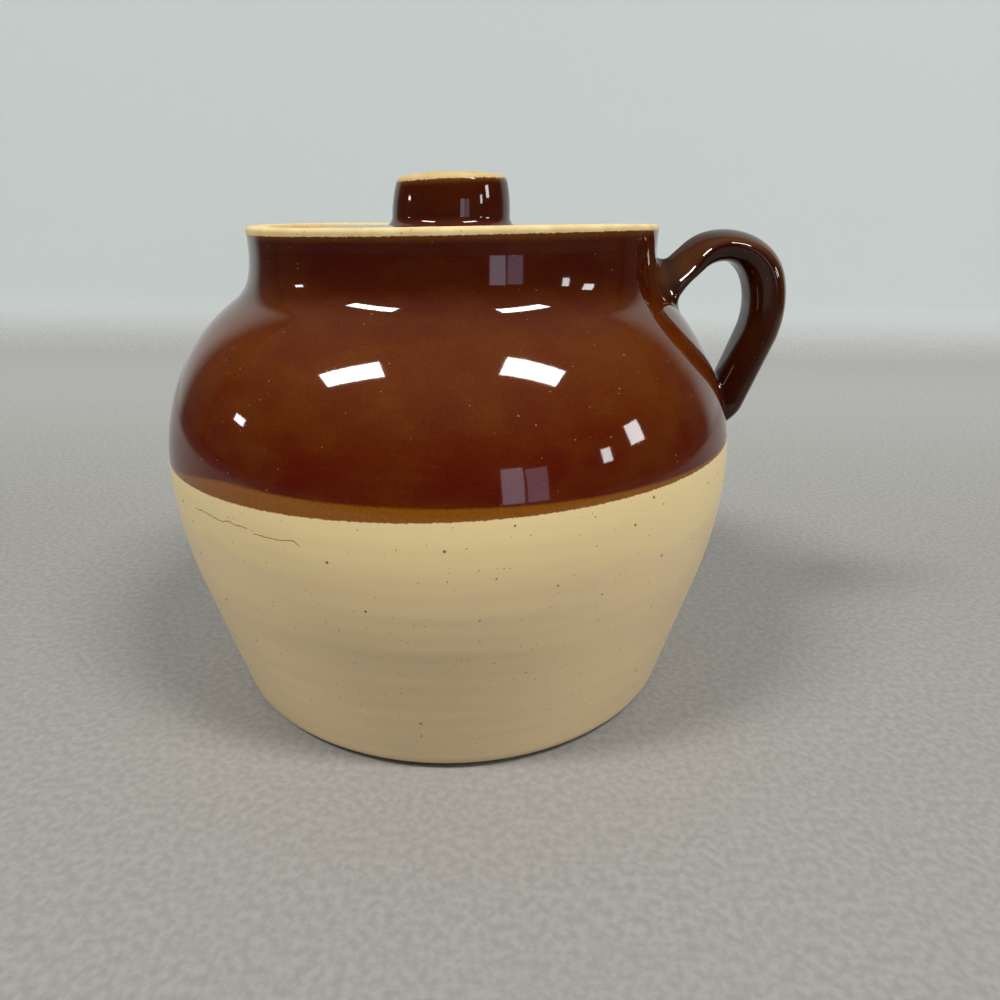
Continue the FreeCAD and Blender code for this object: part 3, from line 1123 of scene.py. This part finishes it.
def makeStage():
    p = stage
    bm, tip = startOutline(-p["reach"], -p["below"])
    tip = lineTo(bm, tip, p["wallDistance"] - p["bend"], -p["below"], p["reach"] * 2)
    tip = arcTo(bm, tip, p["wallDistance"] - p["bend"], p["bend"] - p["below"], 90, 10)
    tip = lineTo(bm, tip, p["wallDistance"], p["wallHeight"], p["reach"] * 2)
    bmesh.ops.rotate(bm, verts=bm.verts[:], cent=(0, 0, 0), matrix=Matrix.Rotation(pi / 2, 3, "Z"))
    bmesh.ops.translate(bm, verts=bm.verts[:], vec=(-p["reach"] * mm, 0, 0))
    made = bmesh.ops.extrude_edge_only(bm, edges=bm.edges[:])
    moved = [part for part in made["geom"] if isinstance(part, bmesh.types.BMVert)]
    bmesh.ops.translate(bm, verts=moved, vec=(2 * p["reach"] * mm, 0, 0))
    mesh = bpy.data.meshes.new("cove")
    bm.to_mesh(mesh)
    bm.free()
    mesh.polygons.foreach_set("use_smooth", [True] * len(mesh.polygons))
    cove = bpy.data.objects.new("cove", mesh)
    bpy.context.scene.collection.objects.link(cove)
    material, tree = newMaterial("paleCove")
    x, y, height = addNode(tree, "SeparateXYZ", None, {0: placeOf(tree)}).outputs
    mottle = step(tree, noiseOf(tree, placeOf(tree), p["mottleSize"], 4), *p["mottleSpan"], *p["mottle"])
    ground = mixColour(tree, step(tree, y, 0.0, p["rearAt"]), p["floorColour"], p["rearFloorColour"])
    ground = shaded(tree, ground, mottle)
    colour = mixColour(tree, step(tree, height, 0.0, p["bend"]), ground, p["wallColour"])

    # the pale part ends in front of the pot and at its left, so that the glaze mirrors a dim room there
    left, right = [maths(tree, "MULTIPLY", x, weight) for weight in (-p["leftWeight"], p["rightWeight"])]
    aside = maths(tree, "MAXIMUM", left, right)
    before = maths(tree, "MINIMUM", y, 0.0)
    apart = addNode(tree, "CombineXYZ", None, {0: aside, 1: before}).outputs[0]
    apart = addNode(tree, "VectorMath", {"operation": "LENGTH"}, {0: apart}).outputs["Value"]
    colour = mixColour(tree, step(tree, apart, p["paleReach"], p["paleEnd"]), colour, p["farColour"])
    mesh.materials.append(finish(material, tree, colour, p["roughness"], 0.0, p["specular"]))


# each lamp: its middle, its width and height, how bright its face is, and its colour
ceilingColour = (1, 0.96, 0.88)
lamps = {
    "ceilingLeft": {"place": (-1070, -690, 1700), "size": (800, 310), "glow": 42.0, "colour": ceilingColour},
    "ceilingRight": {"place": (900, -660, 1700), "size": (760, 320), "glow": 38.0, "colour": ceilingColour},
    "windowLeft": {"place": (1050, -2280, 350), "size": (360, 780), "glow": 2.7, "colour": (0.78, 0.78, 1)},
    "windowRight": {"place": (1400, -2080, 330), "size": (360, 720), "glow": 1.6, "colour": (0.8, 0.7, 1)},
    "sideNear": {"place": (2450, -500, 810), "size": (310, 380), "glow": 15.0, "colour": (1, 1, 1)},
    "sideFar": {"place": (2230, -1130, 620), "size": (180, 270), "glow": 15.0, "colour": (1, 1, 1)},
    "leftStreak": {"place": (-2500, -150, 730), "size": (260, 120), "glow": 20.0, "colour": (1, 1, 1)},
}
lampAim = (0, 0, 90)


def makeLamps():
    for name, p in lamps.items():
        light = bpy.data.lights.new(name, "AREA")
        light.shape = "RECTANGLE"
        light.size, light.size_y = p["size"][0] * mm, p["size"][1] * mm
        light.energy = p["glow"] * pi * light.size * light.size_y
        light.color = p["colour"]
        lamp = bpy.data.objects.new(name, light)
        lamp.location = Vector(p["place"]) * mm
        if not name.startswith("ceiling"):
            aim = Vector(lampAim) * mm - lamp.location
            lamp.rotation_euler = aim.to_track_quat("-Z", "Y").to_euler()
        bpy.context.scene.collection.objects.link(lamp)


room = {
    "low": (0.05, 0.05, 0.054),
    "high": (0.21, 0.215, 0.235),
    "highFrom": 0.3,
}


def makeWorld():
    world = bpy.data.worlds.new("room")
    bpy.context.scene.world = world
    world.use_nodes = True
    tree = world.node_tree
    direction = addNode(tree, "TexCoord").outputs["Generated"]
    up = addNode(tree, "SeparateXYZ", None, {0: direction}).outputs[2]
    colour = mixColour(tree, step(tree, up, room["highFrom"], 1.0), room["low"], room["high"])
    tree.links.new(colour, tree.nodes["Background"].inputs["Color"])


view = {
    "place": (16.35, -245.0, 150.8),
    "tiltDown": 21.25,
    "roll": 0.79,
    "lens": 25.99,
    "sensor": 36.0,
    "nearest": 10.0,
}


def makeCamera():
    data = bpy.data.cameras.new("photoView")
    data.lens, data.sensor_width = view["lens"], view["sensor"]
    data.clip_start = view["nearest"] * mm
    camera = bpy.data.objects.new("photoView", data)
    tilt = Matrix.Rotation(radians(90 - view["tiltDown"]), 4, "X")
    roll = Matrix.Rotation(radians(view["roll"]), 4, "Z")
    camera.matrix_world = Matrix.Translation(Vector(view["place"]) * mm) @ tilt @ roll
    bpy.context.scene.collection.objects.link(camera)
    bpy.context.scene.camera = camera


makeStage()
makeLamps()
makeWorld()
makeCamera()
bpy.context.scene.view_settings.view_transform = "Standard"
print("stage, lamps and camera set")
